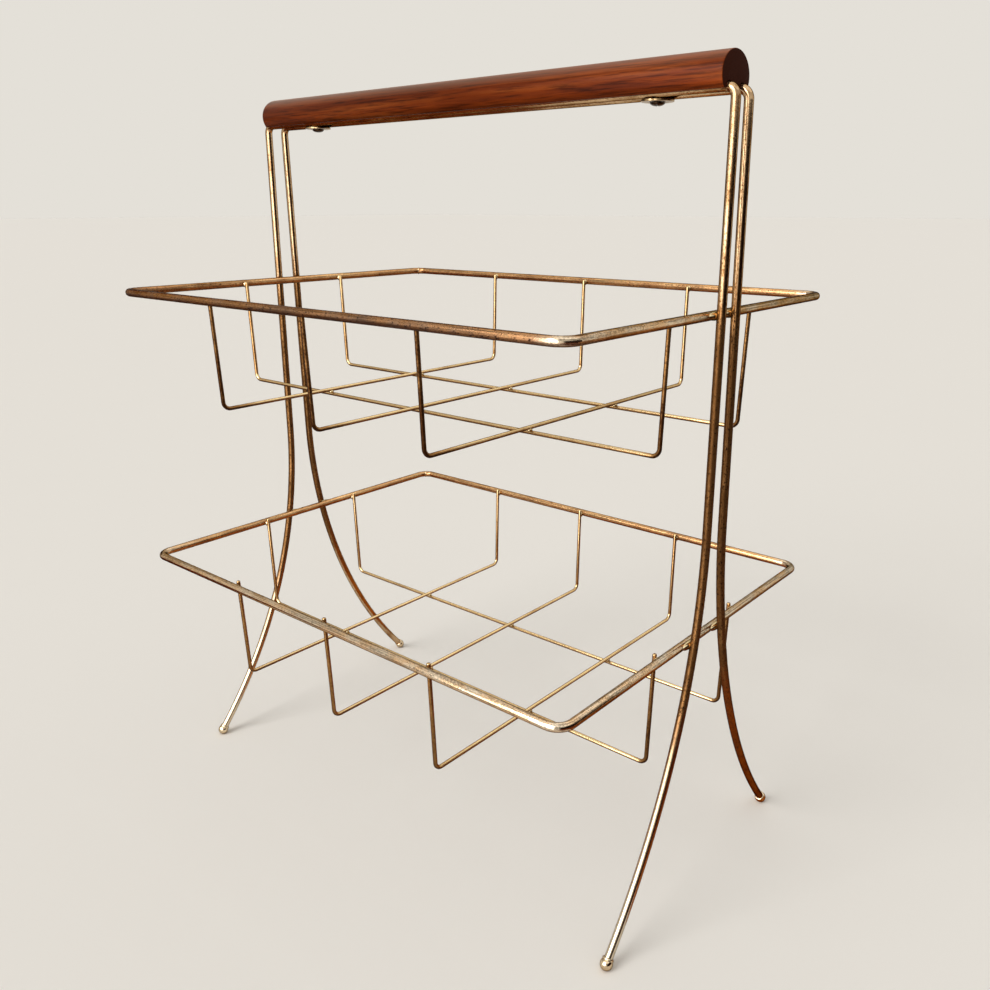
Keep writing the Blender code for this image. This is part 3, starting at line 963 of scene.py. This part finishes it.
def buildHandle():
    low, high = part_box("handle")
    length = high.x - low.x
    axis = Vector((0, 0, high.z - handle["ovalHeight"] / 2 * mm))
    bpy.ops.object.select_all(action="DESELECT")
    # a round rod one millimetre thick, then as wide and high as the handle
    bpy.ops.mesh.primitive_cylinder_add(vertices=handle["sides"], radius=mm / 2, depth=length,
                                        location=axis, rotation=(0, math.pi / 2, 0))
    piece = startPiece("handle_bar")
    bpy.ops.object.mode_set(mode="EDIT")
    bpy.ops.mesh.select_all(action="SELECT")
    bpy.ops.transform.resize(value=(1, handle["width"], handle["ovalHeight"]),
                             center_override=axis)
    bpy.ops.mesh.bisect(plane_co=(0, 0, low.z), plane_no=(0, 0, -1), clear_outer=True,
                        use_fill=True)
    bpy.ops.mesh.select_all(action="DESELECT")
    bpy.ops.mesh.edges_select_sharp(sharpness=math.radians(handle["sharp"]))
    bpy.ops.mesh.bevel(offset=handle["edgeRound"] * mm, segments=handle["edgeSteps"])
    bpy.ops.object.mode_set(mode="OBJECT")
    for outward in (-1, 1):
        shoulder = shoulderOf(outward)
        bpy.ops.object.select_all(action="DESELECT")
        bpy.ops.mesh.primitive_cylinder_add(
            vertices=handle["grooveSides"], radius=frameRadius + joint["gap"] * mm,
            depth=length + handle["overrun"] * mm, location=(0, shoulder.y, shoulder.z),
            rotation=(0, math.pi / 2, 0))
        cutAway(piece, bpy.context.object)
    for node in ("screw_left", "screw_right"):
        middle = middleOf(node)
        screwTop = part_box(node)[1].z
        bpy.ops.object.select_all(action="DESELECT")
        bpy.ops.mesh.primitive_cylinder_add(
            vertices=handle["pilotSides"], radius=handle["pilot"] / 2 * mm,
            depth=2 * (screwTop - low.z + mm), location=(middle.x, middle.y, low.z))
        cutAway(piece, bpy.context.object)
    finishPiece(piece, wood, "handle_wood", "handle")


washer = {
    "sides": 64,
    "hole": 4.3,
    "edgeRound": 0.2,
    "edgeSteps": 2,
    "sharp": 60,            # degrees between the faces at an edge that is rounded
}


def buildWasher(node):
    low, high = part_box(node)
    outer = (high.x - low.x) / 2
    bpy.ops.object.select_all(action="DESELECT")
    bpy.ops.mesh.primitive_cylinder_add(vertices=washer["sides"], radius=outer,
                                        depth=high.z - low.z, location=middleOf(node))
    piece = startPiece(node + "_disc")
    bpy.ops.object.mode_set(mode="EDIT")
    # the top and the bottom
    selectFaces(piece, lambda face: abs(face.normal.z) > 0.5)
    bpy.ops.mesh.inset(thickness=outer - washer["hole"] / 2 * mm)
    bpy.ops.mesh.bridge_edge_loops()
    bpy.ops.mesh.select_all(action="DESELECT")
    bpy.ops.mesh.edges_select_sharp(sharpness=math.radians(washer["sharp"]))
    bpy.ops.mesh.bevel(offset=washer["edgeRound"] * mm, segments=washer["edgeSteps"])
    bpy.ops.object.mode_set(mode="OBJECT")
    finishPiece(piece, washerSteel, "fastener", node)


screw = {
    "head": 7.7,
    "headHeight": 1.7,
    "headSides": (48, 24),
    "shank": 3.5,
    "tip": 2.5,
    "tipShare": 0.3,        # how thick the very end is, beside the shank
    "slotWidth": 1.0,
    "slotDepth": 0.8,
    "slotOverrun": 2,       # how much longer than the head the cutter of the slot is
    "slotTurn": {"screw_left": 0.5, "screw_right": 1.9},    # radians
}


def buildScrew(node):
    # an oval-headed wood screw, driven upwards, with its slotted head below the washer
    low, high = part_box(node)
    middle = middleOf(node)
    head = screw["head"] / 2 * mm
    headTop = low.z + screw["headHeight"] * mm
    centre = Vector((middle.x, middle.y, headTop))
    segments, rings = screw["headSides"]
    bpy.ops.object.select_all(action="DESELECT")
    bpy.ops.mesh.primitive_uv_sphere_add(segments=segments, ring_count=rings, radius=head,
                                         location=centre)
    piece = startPiece(node + "_turned")
    bpy.ops.object.mode_set(mode="EDIT")
    bpy.ops.mesh.select_all(action="SELECT")
    bpy.ops.mesh.bisect(plane_co=centre, plane_no=(0, 0, 1), clear_outer=True, use_fill=True)
    bpy.ops.mesh.select_all(action="SELECT")
    bpy.ops.transform.resize(value=(1, 1, screw["headHeight"] * mm / head),
                             center_override=centre)
    # the flat top of the head
    selectFaces(piece, lambda face: len(face.verts) > 4)
    bpy.ops.mesh.inset(thickness=head - screw["shank"] / 2 * mm)
    tip = screw["tip"] * mm
    for rise in (high.z - headTop - tip, tip):
        bpy.ops.mesh.extrude_region_move(TRANSFORM_OT_translate={"value": up * rise})
    bpy.ops.transform.resize(value=(screw["tipShare"], screw["tipShare"], 1),
                             center_override=(centre.x, centre.y, high.z))
    bpy.ops.object.mode_set(mode="OBJECT")
    bpy.ops.object.select_all(action="DESELECT")
    bpy.ops.mesh.primitive_cube_add(size=mm, location=(centre.x, centre.y, low.z),
                                    rotation=(0, 0, screw["slotTurn"][node]),
                                    scale=(screw["head"] + screw["slotOverrun"],
                                           screw["slotWidth"], 2 * screw["slotDepth"]))
    cutAway(piece, startPiece("slot_cutter"))
    finishPiece(piece, screwSteel, "fastener", node)


setCamera()
buildWorld()
buildFloor()
for name, sun in suns.items():
    addSun(name, sun)
addPane()
for name, card in cards.items():
    addScreen(name, *card)
print("camera and studio ready")

hoopPlating = brassPlatedWire("brass_plated_hoop_wire", hoopFinish)
rimPlating = brassPlatedWire("brass_plated_rim_wire", rimFinish)
basketPlating = brassPlatedWire("brass_plated_basket_wire", basketFinish)
ballPlating = brassPlatedWire("brass_plated_feet", footFinish)
weldMetal = brassPlatedWire("brass_plated_welds", weldFinish)
wood = oiledHardwood()
washerSteel = agedSteel("dulled_washer_steel", *dullSteel["washer"])
screwSteel = agedSteel("dulled_screw_steel", *dullSteel["screw"])
print("materials ready")

for tier in ("upper", "lower"):
    buildRim(tier + "_rim")
    for number in basket["crossWires"]:
        buildBasketWire(f"{tier}_cross_wire_{number}", back)
    for number in basket["longWires"]:
        buildBasketWire(f"{tier}_long_wire_{number}", right)
    buildWelds(tier)
print("rims and baskets bent and welded")

buildHoop("front_hoop", -1)
buildHoop("back_hoop", 1)
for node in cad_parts:
    if node.startswith("foot"):
        buildFoot(node)
print("hoops bent and feet soldered on")

buildHandle()
for side in ("left", "right"):
    buildWasher("washer_" + side)
    buildScrew("screw_" + side)
print("handle screwed on")

bpy.context.scene.view_settings.view_transform = "Standard"
